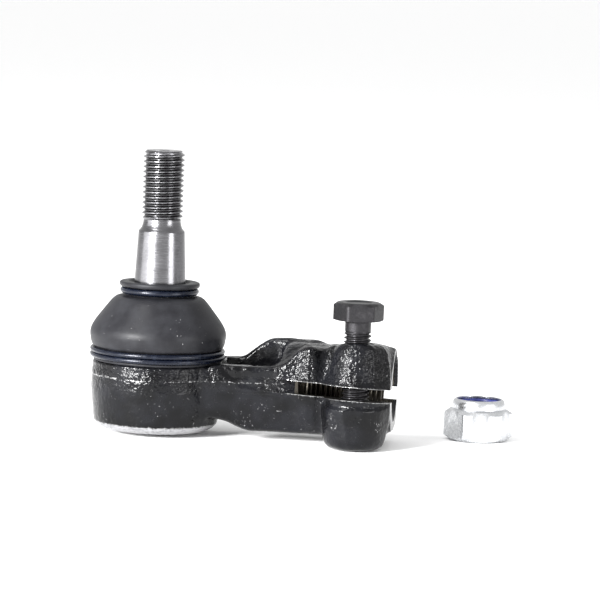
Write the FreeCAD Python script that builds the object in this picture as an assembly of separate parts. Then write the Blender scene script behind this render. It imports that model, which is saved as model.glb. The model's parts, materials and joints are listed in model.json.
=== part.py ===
import FreeCAD, Part
import math
import os

# Tie rod end: a forged ball socket whose arm ends in a slotted, threaded clamp for the tie rod.
# Millimetres. The origin is the centre of the ball. +Z runs up the ball stud, +X runs along the
# arm to the open end of the clamp, and the clamp's ear is on the -Y side.

V = FreeCAD.Vector
X_AXIS = V(1, 0, 0)
Z_AXIS = V(0, 0, 1)
SPIN_CENTRE = V(0, 0, 0)

# ---- fits -------------------------------------------------------------------------------------
BALL_GAP = 0.05            # radial running clearance of the ball in its seats
SEAT_GAP = 0.03            # radial gap round the pieces stacked in the socket
RUBBER_GAP = 0.05          # radial gap between the boot and what it grips

# ---- ball stud --------------------------------------------------------------------------------
BALL_R = 11.0
BALL_FLAT_Z = -7.6
NECK_R = 5.5
NECK_TOP_Z = 15.0
SHANK_Z = 21.5             # the neck has flared to the taper's large end here
TAPER_BOTTOM_Z = 28.8
TAPER_TOP_Z = 46.0
TAPER_TOP_R = 6.8
TAPER_SLOPE = 0.05         # radius lost per millimetre of height, a 1:10 taper
THREAD_RELIEF_R = 5.55
THREAD_BOTTOM_Z = 49.0
THREAD_R = 6.0             # M12 thread, outside radius
STUD_TOP_Z = 69.5
STUD_TIP_R = 5.2
STUD_CHAMFER = 1.2
CENTRE_DRILL_R = 1.6

# ---- socket of the forging --------------------------------------------------------------------
SPIGOT_R = 16.3            # the boot's large end is clamped round this
SPIGOT_TOP_Z = 12.5
RIM_Z = 7.5
RIM_R = 19.0
SOCKET_R = 19.4
SOCKET_FOOT_R = 18.4       # below the draft, where the rolled lip starts
LIP_TOP_Z = -10.4
SOCKET_BOTTOM_Z = -12.6
LIP_BORE_R = 12.0
CAVITY_R = 14.2
CAP_UNDERSIDE_Z = -11.5
CAVITY_TOP_Z = 3.4
THROAT_Z = 5.6
THROAT_R = 10.4
THROAT_TOP_R = 14.3

# ---- arm and clamp ----------------------------------------------------------------------------
BORE_Z = 3.3               # height of the tie rod's axis, and of the forging's parting line
END_X = 70.5
TUBE_R = 11.7
TUBE_START_X = 38.5
BORE_R = 8.2               # inside radius of an M18 x 1.5 thread
BORE_END_X = 43.0
DRILL_POINT_X = 39.4
COUNTERBORE_R = 9.3
COUNTERBORE_X = 66.0
MOUTH_CHAMFER = 0.9
ARM_HALF_WIDTH = 11.6
ARM_BOTTOM_Z = -11.0
RIDGE_Z = 8.6              # top of the arm's low near side
RIB_Z = 15.1               # top of the arm's high far side
POCKET_FLOOR_Z = 2.0
POCKET_X = (23.5, 36.0)
POCKET_Y = (-7.4, 4.4)
SAW_R = 60.0               # radius of the disc that cut the slot
SAW_CENTRE = (60.5, -65.0)
SLOT_HEIGHT = 3.8
SLOT_PIVOT = (60.2, -16.0, 2.75)
SLOT_TILT = 4.8            # degrees that the saw's plane falls towards the far side
SLOT_FALL = 2.2            # degrees that it falls towards the mouth
NOTCH_X = 66.8             # the saw runs on through the far wall, this far in from the mouth
EAR_TOP_Z = 16.9           # at the bolt
EAR_TOP_FALL = 0.085       # height lost per millimetre towards the far side
SHOULDER_TOP_Z = 14.6
EAR_INSET = 1.9            # how far the drafted sides lean in, from the parting line to the ends
BOLT_X = 60.2
BOLT_Y = -14.0
BOSS_R = 9.0
BOSS_BOTTOM_Z = -13.5
BOSS_EDGE = 3.4
BOLT_HOLE_R = 4.3
BOLT_TAP_R = 4.05
COUNTERSINK_R = 5.0

# ---- clamp bolt -------------------------------------------------------------------------------
BOLT_R = 4.0               # M8 thread, outside radius
BOLT_SHANK_R = 3.8
BOLT_SHANK_LENGTH = 3.0
BOLT_LENGTH = 30.0
BOLT_BACKED_OUT = 7.0      # how far the head stands above the ear
BOLT_AF = 13.0
BOLT_HEAD_HEIGHT = 5.3
BOLT_TURN = 10.6           # degrees that the hexagon is turned from square

# ---- lock nut ---------------------------------------------------------------------------------
NUT_AF = 18.0
NUT_HEX_HEIGHT = 9.2
NUT_HEIGHT = 12.2
NUT_COLLAR_R = 7.9
NUT_THREAD_R = 5.2         # inside radius of an M12 x 1.5 thread
NUT_CENTRE = (94.4, 18.9)
NUT_TURN = 8.0
INSERT_R = 7.0
INSERT_BORE_R = 5.65
INSERT_HEIGHT = 2.5

# ---- boot and its rings -----------------------------------------------------------------------
BOOT_GRIP_R = 7.72         # the boot's neck round the stud
LOWER_WIRE_R = 0.8
LOWER_RING_R = 19.2
LOWER_RING_Z = 9.9
LOWER_COIL_STEP = 1.5
UPPER_WIRE_R = 0.95
UPPER_RING_R = 10.65
UPPER_RING_Z = 28.2


def revolved(outline):
    """A solid turned about Z from a closed outline of (radius, height) points."""
    points = [V(r, 0, z) for r, z in outline]
    face = Part.Face(Part.makePolygon(points + points[:1]))
    return face.revolve(SPIN_CENTRE, Z_AXIS, 360)


def ring_of_wire(centre_r, wire_r, height):
    """A closed ring of round wire about Z."""
    return Part.makeTorus(centre_r, wire_r, V(0, 0, height))


def hexagon_prism(across_flats, height, base, turn):
    """An upright hexagonal prism that stands on base."""
    corner_r = across_flats / math.sqrt(3)
    angles = [math.radians(turn + 60 * k) for k in range(6)]
    corners = [base + V(corner_r * math.cos(a), corner_r * math.sin(a), 0) for a in angles]
    face = Part.Face(Part.makePolygon(corners + corners[:1]))
    return face.extrude(V(0, 0, height))


def drafted(outline, z_from, z_to, inset):
    """A block between an outline at z_from and the same outline drawn inset at z_to."""
    wires = []
    for z, amount in ((z_from, 0.0), (z_to, inset)):
        points = [V(x, y, z) for x, y in outline(amount)]
        wires.append(Part.makePolygon(points + points[:1]))
    return Part.makeLoft(wires, True, True)


# ---- the forging ------------------------------------------------------------------------------
def socket_block():
    """The round ball socket before anything is bored out of it."""
    return revolved([
        (0, SPIGOT_TOP_Z), (SPIGOT_R - 0.4, SPIGOT_TOP_Z), (SPIGOT_R, SPIGOT_TOP_Z - 0.4),
        (SPIGOT_R, RIM_Z), (RIM_R - 0.3, RIM_Z), (RIM_R, RIM_Z - 0.3), (RIM_R + 0.05, 5.6),
        (SOCKET_R, 4.0), (SOCKET_R, -0.7), (SOCKET_FOOT_R + 0.15, -8.8), (SOCKET_FOOT_R, LIP_TOP_Z),
        (17.2, -11.7), (15.6, -12.45), (15.0, SOCKET_BOTTOM_Z), (0, SOCKET_BOTTOM_Z),
    ])


def arm_section(x, half_mid, bottom, top):
    """One six-sided cross-section of the arm, widest at the parting line."""
    half_bottom = half_mid - 0.25 * (BORE_Z - bottom)
    half_top = half_mid - 0.35 * (top - BORE_Z)
    points = [
        V(x, -half_bottom, bottom), V(x, half_bottom, bottom), V(x, half_mid, BORE_Z),
        V(x, half_top, top), V(x, -half_top, top), V(x, -half_mid, BORE_Z),
    ]
    return Part.makePolygon(points + points[:1])


def arm_beam():
    """The arm from inside the socket wall to the clamp."""
    sections = [
        arm_section(13.0, 13.0, -8.8, RIM_Z - 0.8),
        arm_section(21.0, 12.1, -9.4, RIM_Z - 0.2),
        arm_section(28.0, ARM_HALF_WIDTH, ARM_BOTTOM_Z + 0.1, RIDGE_Z),
        arm_section(55.0, ARM_HALF_WIDTH, ARM_BOTTOM_Z, RIDGE_Z + 0.3),
        arm_section(67.0, ARM_HALF_WIDTH - 0.6, -8.0, RIDGE_Z),
    ]
    return Part.makeLoft(sections, True, True)


def far_rib():
    """The high rib that carries the arm's far side up to the top of the tube."""
    outline = [(22, BORE_Z), (22.5, 6.5), (26.0, 10.8), (33.5, RIB_Z - 0.1), (37, RIB_Z), (50, RIB_Z),
               (50, BORE_Z)]
    points = [V(x, 4.4, z) for x, z in outline]
    return Part.Face(Part.makePolygon(points + points[:1])).extrude(V(0, 6.0, 0))


def tube():
    """The round body of the clamp about the tie rod's axis."""
    body = Part.makeCylinder(TUBE_R, END_X - TUBE_START_X, V(TUBE_START_X, 0, BORE_Z), X_AXIS)
    rims = [e for e in body.Edges if len(e.Vertexes) == 1 or e.Closed]
    mouth_rim = [e for e in rims if e.BoundBox.XMin > END_X - 0.01]
    return body.makeFillet(0.8, mouth_rim)


def shoulder_outline(inset):
    """The ear's low shoulder seen from above, between the arm and the bolt's boss."""
    near = -13.6 + 0.5 * inset
    return [(41.2 + 0.6 * inset, 2.0), (40.6 + 0.6 * inset, -8.0), (42.2 + 0.5 * inset, -11.8 + 0.4 * inset),
            (45.0, near), (51.0, near + 0.4), (57.0, near + 0.4), (57.0, 2.0)]


def boss_outline(inset):
    """The high part of the ear seen from above: round about the bolt, and square at the mouth."""
    near_r = BOSS_R - 0.35 * inset
    left = (BOLT_X - near_r, 2.0)
    arc = []
    for degrees in range(180, 301, 20):
        a = math.radians(degrees)
        arc.append((BOLT_X + near_r * math.cos(a), BOLT_Y + near_r * math.sin(a)))
    right = END_X - 0.1 - 0.8 * inset
    return [left] + arc + [(right, BOLT_Y - 2.0 + 0.4 * inset), (right, 2.0)]


def boss_block():
    """The high part of the ear above the parting line; its top falls towards the far side."""
    wires = []
    for inset in (0.0, EAR_INSET):
        points = []
        for x, y in boss_outline(inset):
            top = EAR_TOP_Z - EAR_TOP_FALL * (y - BOLT_Y)
            points.append(V(x, y, top if inset else BORE_Z))
        wires.append(Part.makePolygon(points + points[:1]))
    return Part.makeLoft(wires, True, True)


def clamp_ear():
    """Both halves of the ear, each drafted away from the parting line."""
    bottom = ARM_BOTTOM_Z + 2.0
    upper = drafted(shoulder_outline, BORE_Z, SHOULDER_TOP_Z, EAR_INSET)
    lower = drafted(shoulder_outline, BORE_Z, bottom, EAR_INSET)
    return boss_block().fuse([upper, lower, drafted(boss_outline, BORE_Z, bottom, EAR_INSET)])


def bolt_boss():
    """The round boss under the ear that the bolt is screwed into."""
    centre = V(BOLT_X, BOLT_Y, BOSS_BOTTOM_Z)
    boss = Part.makeCone(BOSS_R - 0.3, BOSS_R, BORE_Z - BOSS_BOTTOM_Z, centre, Z_AXIS)
    foot = [e for e in boss.Edges if e.BoundBox.ZMax < BOSS_BOTTOM_Z + 0.01]
    boss = boss.makeFillet(BOSS_EDGE, foot)
    bridge_size = (2 * (BOSS_R - 1.4), -BOLT_Y, BORE_Z - ARM_BOTTOM_Z)
    bridge = Part.makeBox(*bridge_size, V(BOLT_X - BOSS_R + 1.4, BOLT_Y, ARM_BOTTOM_Z))
    return boss.fuse(bridge)


def socket_cavity():
    """The stepped hole through the socket that takes the seats, the spring and the cap."""
    return revolved([
        (0, SOCKET_BOTTOM_Z - 1), (LIP_BORE_R, SOCKET_BOTTOM_Z - 1), (LIP_BORE_R, CAP_UNDERSIDE_Z),
        (CAVITY_R, CAP_UNDERSIDE_Z), (CAVITY_R, CAVITY_TOP_Z), (THROAT_R + 0.5, THROAT_Z),
        (THROAT_R, THROAT_Z), (THROAT_TOP_R, SPIGOT_TOP_Z), (THROAT_TOP_R + 0.5, SPIGOT_TOP_Z + 1),
        (0, SPIGOT_TOP_Z + 1),
    ])


def forging_pocket():
    """The hollow in the arm's top, between its low near side and its high far side."""
    def outline(inset):
        x0, x1 = POCKET_X[0] - inset, POCKET_X[1] + inset
        y0, y1 = POCKET_Y[0] - 0.3 * inset, POCKET_Y[1]
        corner = 2.5
        return [(x0 + corner, y0), (x1 - corner, y0), (x1, y0 + corner), (x1, y1 - corner),
                (x1 - corner, y1), (x0 + corner, y1), (x0, y1 - corner), (x0, y0 + corner)]
    return drafted(outline, POCKET_FLOOR_Z, RIB_Z + 3, 2.4)


def rod_bore():
    """The tie rod's threaded hole, with its drill point, counterbore and mouth chamfer."""
    axis_point = V(0, 0, BORE_Z)
    hole = Part.makeCylinder(BORE_R, END_X + 1 - BORE_END_X, axis_point + V(BORE_END_X, 0, 0), X_AXIS)
    point = Part.makeCone(
        0.5, BORE_R, BORE_END_X - DRILL_POINT_X, axis_point + V(DRILL_POINT_X, 0, 0), X_AXIS)
    recess = Part.makeCylinder(
        COUNTERBORE_R, END_X + 1 - COUNTERBORE_X, axis_point + V(COUNTERBORE_X, 0, 0), X_AXIS)
    chamfer = Part.makeCone(
        COUNTERBORE_R, COUNTERBORE_R + MOUTH_CHAMFER, MOUTH_CHAMFER,
        axis_point + V(END_X - MOUTH_CHAMFER, 0, 0), X_AXIS)
    return hole.fuse([point, recess, chamfer])


def saw_slot():
    """The slot through the near wall, with the disc's round run-out, and the far wall's notch."""
    low = SLOT_PIVOT[2] - SLOT_HEIGHT / 2
    disc = Part.makeCylinder(SAW_R, SLOT_HEIGHT, V(SAW_CENTRE[0], SAW_CENTRE[1], low), Z_AXIS)
    notch = Part.makeBox(END_X + 1 - NOTCH_X, TUBE_R + 3, SLOT_HEIGHT, V(NOTCH_X, 0, low))
    cut = disc.fuse(notch)
    cut.rotate(V(*SLOT_PIVOT), X_AXIS, -SLOT_TILT)
    cut.rotate(V(*SLOT_PIVOT), V(0, 1, 0), SLOT_FALL)
    return cut


def bolt_hole():
    """A clearance hole in the upper ear over a tapped hole in the lower one."""
    depth = COUNTERSINK_R - BOLT_HOLE_R
    foot = V(BOLT_X, BOLT_Y, BOSS_BOTTOM_Z - 1)
    middle = V(BOLT_X, BOLT_Y, BORE_Z)
    top = V(BOLT_X, BOLT_Y, EAR_TOP_Z - depth)
    upper = Part.makeCylinder(BOLT_HOLE_R, EAR_TOP_Z + 2 - BORE_Z, middle, Z_AXIS)
    lower = Part.makeCylinder(BOLT_TAP_R, BORE_Z + 1 - BOSS_BOTTOM_Z, foot, Z_AXIS)
    sink = Part.makeCone(BOLT_HOLE_R, COUNTERSINK_R + 1, depth + 1, top, Z_AXIS)
    return upper.fuse([lower, sink])


def housing():
    """The forging with everything machined out of it."""
    blank = socket_block().fuse([arm_beam(), far_rib(), tube(), clamp_ear(), bolt_boss()])
    bored = blank.cut([forging_pocket(), socket_cavity(), rod_bore(), saw_slot(), bolt_hole()])
    return bored.removeSplitter()


# ---- pieces inside the socket -----------------------------------------------------------------
def seat_ring(outline):
    """A bearing shell: a turned ring with the ball's hollow in it."""
    return revolved(outline).cut(Part.makeSphere(BALL_R + BALL_GAP))


def upper_seat():
    """The bearing shell over the ball, held by the socket's throat."""
    outer = CAVITY_R - SEAT_GAP
    return seat_ring([
        (0, 0.2), (outer, 0.2), (outer, CAVITY_TOP_Z - SEAT_GAP), (THROAT_R + 0.55, THROAT_Z - 0.08),
        (0, THROAT_Z - 0.08),
    ])


def lower_seat():
    """The bearing shell under the ball, pressed up by the spring."""
    outer = CAVITY_R - SEAT_GAP
    return seat_ring([(0, -8.6), (outer - 0.8, -8.6), (outer, -7.8), (outer, -0.2), (0, -0.2)])


def preload_spring():
    """The coned disc spring between the lower seat and the cap."""
    return revolved([(7.3, -9.3), (13.6, -9.9), (13.6, -9.2), (7.3, -8.6)])


def end_cap():
    """The pressed cap that the socket's lip is rolled over."""
    edge = CAVITY_R - SEAT_GAP
    return revolved([
        (0, -10.8), (8.0, -10.8), (9.4, -9.9), (edge, -9.9), (edge, CAP_UNDERSIDE_Z),
        (10.4, CAP_UNDERSIDE_Z), (8.8, -12.3), (0, -12.3),
    ])


# ---- ball stud --------------------------------------------------------------------------------
def stud_shank():
    """The neck, the taper and the threaded end."""
    taper_bottom_r = TAPER_TOP_R + TAPER_SLOPE * (TAPER_TOP_Z - TAPER_BOTTOM_Z)
    return revolved([
        (0, 0), (NECK_R, 0), (NECK_R, NECK_TOP_Z), (taper_bottom_r, SHANK_Z),
        (taper_bottom_r, TAPER_BOTTOM_Z), (TAPER_TOP_R, TAPER_TOP_Z), (THREAD_RELIEF_R, TAPER_TOP_Z + 0.8),
        (THREAD_RELIEF_R, THREAD_BOTTOM_Z - 0.5), (THREAD_R, THREAD_BOTTOM_Z),
        (THREAD_R, STUD_TOP_Z - STUD_CHAMFER), (STUD_TIP_R, STUD_TOP_Z),
        (CENTRE_DRILL_R, STUD_TOP_Z), (0, STUD_TOP_Z - 1.7 * CENTRE_DRILL_R),
    ])


def ball_stud():
    """The ball and its stud, in one piece."""
    ball = Part.makeSphere(BALL_R)
    below = Part.makeBox(4 * BALL_R, 4 * BALL_R, BALL_R, V(-2 * BALL_R, -2 * BALL_R, BALL_FLAT_Z - BALL_R))
    return ball.cut(below).fuse(stud_shank()).removeSplitter()


# ---- boot and rings ---------------------------------------------------------------------------
def boot():
    """The rubber boot, from the socket's spigot to its lip round the stud."""
    grip = BOOT_GRIP_R
    foot = SPIGOT_R + RUBBER_GAP
    outside = [
        (foot, 7.55), (18.9, 7.55), (19.0, 8.15), (18.35, 8.4), (18.35, 11.5), (19.3, 12.0), (19.85, 13.1),
        (20.15, 15.5), (19.95, 16.7), (19.5, 17.9), (18.85, 19.1), (17.0, 21.5), (15.15, 23.9), (13.9, 25.5),
        (12.9, 26.4), (9.65, 26.9), (9.65, 29.35), (11.75, 29.45), (11.85, 30.6), (11.5, 31.0),
    ]
    inside = [
        (8.9, 31.0), (8.1, 30.3), (grip, 30.2), (grip, 25.6), (11.0, 25.4), (13.6, 22.9), (17.0, 18.6),
        (18.2, 16.0), (18.2, 14.0), (17.4, 12.7), (foot, 12.6),
    ]
    return revolved(outside + inside)


def lower_ring():
    """Two turns of spring wire round the boot's large end."""
    low = ring_of_wire(LOWER_RING_R, LOWER_WIRE_R, LOWER_RING_Z - LOWER_COIL_STEP / 2)
    high = ring_of_wire(LOWER_RING_R, LOWER_WIRE_R, LOWER_RING_Z + LOWER_COIL_STEP / 2)
    return low.fuse(high)


def upper_ring():
    """The ring round the boot's neck."""
    return ring_of_wire(UPPER_RING_R, UPPER_WIRE_R, UPPER_RING_Z)


# ---- fasteners --------------------------------------------------------------------------------
def chamfered_hexagon(across_flats, height, base, turn, chamfer_top, chamfer_bottom):
    """A hexagonal prism whose corners are turned away at the ends that are asked for."""
    prism = hexagon_prism(across_flats, height, base, turn)
    corner_r = across_flats / math.sqrt(3) + 0.01
    flat_r = across_flats / 2 * 0.96
    drop = (corner_r - flat_r) * 0.5
    top_r = flat_r if chamfer_top else corner_r
    foot_r = flat_r if chamfer_bottom else corner_r
    outline = [(0, 0), (foot_r, 0), (corner_r, drop), (corner_r, height - drop), (top_r, height), (0, height)]
    turning = revolved(outline)
    turning.translate(base)
    return prism.common(turning)


def clamp_bolt():
    """The hexagon-headed clamp bolt, backed out of the ear."""
    seat_z = EAR_TOP_Z + BOLT_BACKED_OUT
    head = chamfered_hexagon(BOLT_AF, BOLT_HEAD_HEIGHT, V(BOLT_X, BOLT_Y, seat_z), BOLT_TURN, True, False)
    dish = Part.makeCone(BOLT_AF * 0.3, BOLT_AF * 0.34, 0.4,
                         V(BOLT_X, BOLT_Y, seat_z + BOLT_HEAD_HEIGHT - 0.35), Z_AXIS)
    shank = revolved([
        (0, 0.2), (BOLT_SHANK_R, 0.2), (BOLT_SHANK_R, -BOLT_SHANK_LENGTH), (BOLT_R, -BOLT_SHANK_LENGTH - 0.3),
        (BOLT_R, 0.9 - BOLT_LENGTH), (BOLT_R - 0.9, -BOLT_LENGTH), (0, -BOLT_LENGTH),
    ])
    shank.translate(V(BOLT_X, BOLT_Y, seat_z))
    return head.cut(dish).fuse(shank).removeSplitter()


def lock_nut():
    """The hexagon nut with the collar that holds its nylon ring."""
    base = V(NUT_CENTRE[0], NUT_CENTRE[1], BOSS_BOTTOM_Z)
    body = chamfered_hexagon(NUT_AF, NUT_HEX_HEIGHT, base, NUT_TURN, True, True)
    collar = revolved([
        (0, NUT_HEX_HEIGHT - 1), (NUT_COLLAR_R, NUT_HEX_HEIGHT - 1), (NUT_COLLAR_R, NUT_HEIGHT - 1.1),
        (NUT_COLLAR_R - 0.5, NUT_HEIGHT - 0.4), (NUT_COLLAR_R - 1.0, NUT_HEIGHT), (0, NUT_HEIGHT),
    ])
    hole = revolved([
        (0, -1), (NUT_THREAD_R + 1.9, -1), (NUT_THREAD_R, 0.9), (NUT_THREAD_R, NUT_HEX_HEIGHT - 1),
        (INSERT_R, NUT_HEX_HEIGHT - 1), (INSERT_R, NUT_HEIGHT - 0.7), (INSERT_R - 0.4, NUT_HEIGHT + 1),
        (0, NUT_HEIGHT + 1),
    ])
    collar.translate(base)
    hole.translate(base)
    return body.fuse(collar).cut(hole).removeSplitter()


def nylon_insert():
    """The nylon locking ring at the top of the nut."""
    low = NUT_HEX_HEIGHT - 1
    outer = INSERT_R - SEAT_GAP
    ring = revolved([
        (INSERT_BORE_R, low), (outer, low), (outer, low + INSERT_HEIGHT),
        (outer - 0.5, low + INSERT_HEIGHT + 0.35), (INSERT_BORE_R + 0.4, low + INSERT_HEIGHT + 0.35),
        (INSERT_BORE_R, low + INSERT_HEIGHT),
    ])
    ring.translate(V(NUT_CENTRE[0], NUT_CENTRE[1], BOSS_BOTTOM_Z))
    return ring


PIECES = {
    "housing": housing,
    "upper_seat": upper_seat,
    "lower_seat": lower_seat,
    "preload_spring": preload_spring,
    "end_cap": end_cap,
    "ball_stud": ball_stud,
    "boot": boot,
    "lower_ring": lower_ring,
    "upper_ring": upper_ring,
    "clamp_bolt": clamp_bolt,
    "lock_nut": lock_nut,
    "nylon_insert": nylon_insert,
}

os.makedirs("parts", exist_ok=True)
for name, make in PIECES.items():
    shape = make()
    shape.exportStep(f"parts/{name}.step")
    print(name, len(shape.Solids), shape.isValid(), round(shape.Volume, 1))
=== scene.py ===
import json
import math

import bmesh
import bpy
import numpy as np
import openvdb
from mathutils import Matrix, Vector


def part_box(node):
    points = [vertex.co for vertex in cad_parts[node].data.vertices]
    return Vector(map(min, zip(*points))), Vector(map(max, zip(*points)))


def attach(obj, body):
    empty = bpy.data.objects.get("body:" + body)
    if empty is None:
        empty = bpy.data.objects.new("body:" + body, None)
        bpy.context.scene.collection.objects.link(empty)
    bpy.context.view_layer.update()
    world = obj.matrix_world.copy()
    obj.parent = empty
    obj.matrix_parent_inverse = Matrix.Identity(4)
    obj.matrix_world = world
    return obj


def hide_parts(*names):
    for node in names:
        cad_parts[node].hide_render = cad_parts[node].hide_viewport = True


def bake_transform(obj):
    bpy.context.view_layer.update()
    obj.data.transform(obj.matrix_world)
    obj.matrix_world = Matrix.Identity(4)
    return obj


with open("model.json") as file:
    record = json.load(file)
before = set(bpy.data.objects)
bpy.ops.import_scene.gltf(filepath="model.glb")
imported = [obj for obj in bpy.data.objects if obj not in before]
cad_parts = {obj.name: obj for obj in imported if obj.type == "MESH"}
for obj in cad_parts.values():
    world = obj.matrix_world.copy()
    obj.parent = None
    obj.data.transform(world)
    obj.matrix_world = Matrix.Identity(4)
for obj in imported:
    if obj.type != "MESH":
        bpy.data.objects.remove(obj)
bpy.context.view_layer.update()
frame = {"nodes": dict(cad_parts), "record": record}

# Shapes are worked out in millimetres on the frame's axes, and scaled once, when a mesh is made.
MM = 0.001
TAU = 2 * math.pi
TINY = 1e-6


def node_box(name):
    """Lowest and highest corner of a CAD node, in millimetres."""
    low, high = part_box(name)
    return np.array(low) / MM, np.array(high) / MM


def mount(name):
    """A mount's place in millimetres and its dimensions."""
    found = next(m for m in frame["record"]["mounts"] if m["name"] == name)
    return np.array(found["pos_m"]) / MM, found["dims"]


HOUSING_LOW, HOUSING_HIGH = node_box("housing")
STUD_TIP = node_box("ball_stud")[1][2]
BOLT_LOW, BOLT_HIGH = node_box("clamp_bolt")
NUT_LOW, NUT_HIGH = node_box("lock_nut")
ROD, ROD_DIMS = mount("rod_clamp")
THREAD, THREAD_DIMS = mount("stud_thread")

FLOOR_Z = HOUSING_LOW[2]
PARTING_Z = ROD[2]
END_X = HOUSING_HIGH[0]
BOLT_X, BOLT_Y = (BOLT_LOW[:2] + BOLT_HIGH[:2]) / 2
NUT_X, NUT_Y = (NUT_LOW[:2] + NUT_HIGH[:2]) / 2


# ---- meshes -----------------------------------------------------------------------------------
def new_mesh(name, points, faces, smooth=True, sharp_angle=32):
    """A mesh object from points in millimetres."""
    mesh = bpy.data.meshes.new(name)
    mesh.from_pydata((np.asarray(points, float) * MM).tolist(), [], [list(f) for f in faces])
    mesh.update()
    piece = bpy.data.objects.new(name, mesh)
    bpy.context.scene.collection.objects.link(piece)
    if smooth:
        shade(piece, sharp_angle)
    return piece


def shade(piece, sharp_angle):
    """Smooth shading with hard edges above an angle."""
    mesh = piece.data
    mesh.polygons.foreach_set("use_smooth", np.ones(len(mesh.polygons), bool))
    mesh.set_sharp_from_angle(angle=math.radians(sharp_angle))


def rounded(points, steps=5):
    """An outline whose corners are eased. A point is (radius, height) or (radius, height, ease)."""
    longest_share = 0.48
    out = []
    for i, point in enumerate(points):
        ease = point[2] if len(point) > 2 else 0.0
        here = np.array(point[:2], float)
        if ease <= 0 or i in (0, len(points) - 1):
            out.append(here)
            continue
        before = np.array(points[i - 1][:2], float)
        after = np.array(points[i + 1][:2], float)
        back, on = np.linalg.norm(before - here), np.linalg.norm(after - here)
        start = here + (before - here) / back * min(ease, longest_share * back)
        end = here + (after - here) / on * min(ease, longest_share * on)
        for t in np.linspace(0, 1, steps + 1):
            out.append((1 - t) ** 2 * start + 2 * t * (1 - t) * here + t ** 2 * end)
    return np.array(out)


def spaced(outline, longest):
    """The same outline with no stretch longer than a given length."""
    out = [outline[0]]
    for a, b in zip(outline[:-1], outline[1:]):
        pieces = max(1, math.ceil(np.linalg.norm(b - a) / longest))
        out += [a + (b - a) * k / pieces for k in range(1, pieces + 1)]
    return np.array(out)


def turned(name, outline, around, radius_at=None, closed=False, centre=(0, 0, 0), along="Z", **kw):
    """A turned piece with this many points around. radius_at(r, z, angles) may change the radius round
    each row, as for a thread."""
    angles = np.arange(around) / around * TAU
    rows, poles, points = [], [], []
    for r, z in outline:
        if abs(r) < TINY:
            rows.append([len(points)] * around)
            points.append((0, 0, z))
            poles.append(True)
            continue
        radii = np.full(around, float(r)) if radius_at is None else radius_at(r, z, angles)
        start = len(points)
        points += list(zip(radii * np.cos(angles), radii * np.sin(angles), np.full(around, z)))
        rows.append(list(range(start, start + around)))
        poles.append(False)
    faces = []
    pairs = list(zip(range(len(rows) - 1), range(1, len(rows))))
    if closed:
        pairs.append((len(rows) - 1, 0))
    for a, b in pairs:
        if poles[a] and poles[b]:
            continue
        for k in range(around):
            m = (k + 1) % around
            face = [rows[a][k], rows[a][m], rows[b][m], rows[b][k]]
            faces.append(list(dict.fromkeys(face)))
    points = np.array(points)
    if along == "X":
        points = points[:, [2, 0, 1]]
    return new_mesh(name, points + np.array(centre), faces, **kw)


CREST_SHARE = 0.14
FLANK_SHARE = 0.62
FLANK_EASE = 0.35


def thread_shape(angles, z, pitch):
    """Depth from 0 at a crest to 1 at a root, of a right-hand thread."""
    turn = (z / pitch - angles / TAU) % 1.0
    wave = np.abs(2 * turn - 1)
    flank = np.clip((wave - CREST_SHARE) / FLANK_SHARE, 0, 1)
    return flank * flank * (3 - 2 * flank) * FLANK_EASE + flank * (1 - FLANK_EASE)


def wire(name, path, wire_r, around=14):
    """Round wire along a path that winds about Z, with rounded ends."""
    path = np.asarray(path, float)
    tangent = np.gradient(path, axis=0)
    tangent /= np.linalg.norm(tangent, axis=1)[:, None]
    out = path * [1, 1, 0]
    out /= np.linalg.norm(out, axis=1)[:, None]
    out -= tangent * (out * tangent).sum(1)[:, None]
    out /= np.linalg.norm(out, axis=1)[:, None]
    up = np.cross(tangent, out)
    a = np.arange(around) / around * TAU
    end_rows, least_r = 4, 0.01
    ends = np.linspace(0, math.pi / 2, end_rows + 1)[1:]
    radius = np.concatenate([wire_r * np.cos(ends[::-1]), np.full(len(path), wire_r), wire_r * np.cos(ends)])
    radius = np.maximum(radius, least_r)
    centres = np.concatenate([
        path[0] - tangent[0] * (wire_r * np.sin(ends[::-1]))[:, None], path,
        path[-1] + tangent[-1] * (wire_r * np.sin(ends))[:, None]])
    outs = np.pad(out, ((end_rows, end_rows), (0, 0)), mode="edge")
    ups = np.pad(up, ((end_rows, end_rows), (0, 0)), mode="edge")
    ring = (centres[:, None] + radius[:, None, None] * (
        outs[:, None] * np.cos(a)[None, :, None] + ups[:, None] * np.sin(a)[None, :, None]))
    n = len(centres)
    faces = []
    for i in range(n - 1):
        for k in range(around):
            m = (k + 1) % around
            faces.append((i * around + k, i * around + m, (i + 1) * around + m, (i + 1) * around + k))
    faces.append(tuple(range(around))[::-1])
    faces.append(tuple((n - 1) * around + k for k in range(around)))
    return new_mesh(name, ring.reshape(-1, 3), faces)


def outward(piece):
    """Turns every face to look out of a closed piece."""
    work = bmesh.new()
    work.from_mesh(piece.data)
    bmesh.ops.recalc_face_normals(work, faces=work.faces)
    if work.calc_volume(signed=True) < 0:
        bmesh.ops.reverse_faces(work, faces=work.faces)
    work.to_mesh(piece.data)
    work.free()
    return piece


LATTICE = 24


def value_noise(points, cell, seed):
    """Smooth random values from -1 to 1 at each point, a new value every cell."""
    lattice = np.random.default_rng(seed).uniform(-1, 1, (LATTICE, LATTICE, LATTICE))
    q = points / cell
    base = np.floor(q).astype(int)
    f = q - base
    f = f * f * (3 - 2 * f)
    total = np.zeros(len(points))
    for corner in range(8):
        step = np.array([corner & 1, corner >> 1 & 1, corner >> 2 & 1])
        weight = np.prod(np.where(step, f, 1 - f), axis=1)
        i, j, k = ((base + step) % LATTICE).T
        total += weight * lattice[i, j, k]
    return total


# ---- distance fields for the forging ----------------------------------------------------------
def join(a, b, ease):
    """The union of two shapes with a fillet."""
    h = np.clip(0.5 + 0.5 * (b - a) / ease, 0, 1)
    return b * (1 - h) + a * h - ease * h * (1 - h)


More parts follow.
